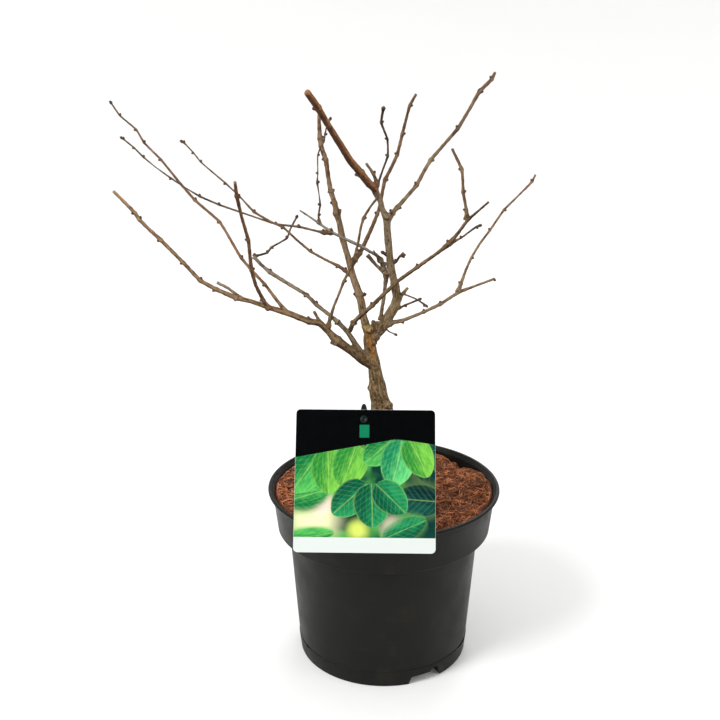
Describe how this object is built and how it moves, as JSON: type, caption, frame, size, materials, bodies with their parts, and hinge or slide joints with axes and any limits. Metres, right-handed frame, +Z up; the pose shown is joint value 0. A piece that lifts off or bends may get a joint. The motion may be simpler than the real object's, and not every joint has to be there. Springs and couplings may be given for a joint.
{
  "type": "dwarf ginkgo bonsai in a nursery pot",
  "caption": "Bare dwarf ginkgo bonsai with a forked, budded crown, rooted in coir in a round black nursery pot with a picture card on a stake.",
  "frame": {"origin": "middle of the pot's base, on the surface that it stands on", "axes": "+Z up the trunk, +X to the right as the card faces the viewer, +Y away from the card"},
  "size_m": [0.406, 0.2371, 0.5731],
  "materials": {
    "pot_plastic": "moulded, semi-matt charcoal black",
    "soil": "loose reddish coir fibre and bark flakes",
    "bark": "grey-brown bark, orange-brown on the young twigs",
    "card": "printed plastic card, satin",
    "stake_plastic": "green-black moulded plastic"
  },
  "bodies": {
    "root": {"pot": "pot_plastic", "soil": "soil", "tree": "bark", "label_card": "card", "label_stake": "stake_plastic"}
  },
  "joints": []
}
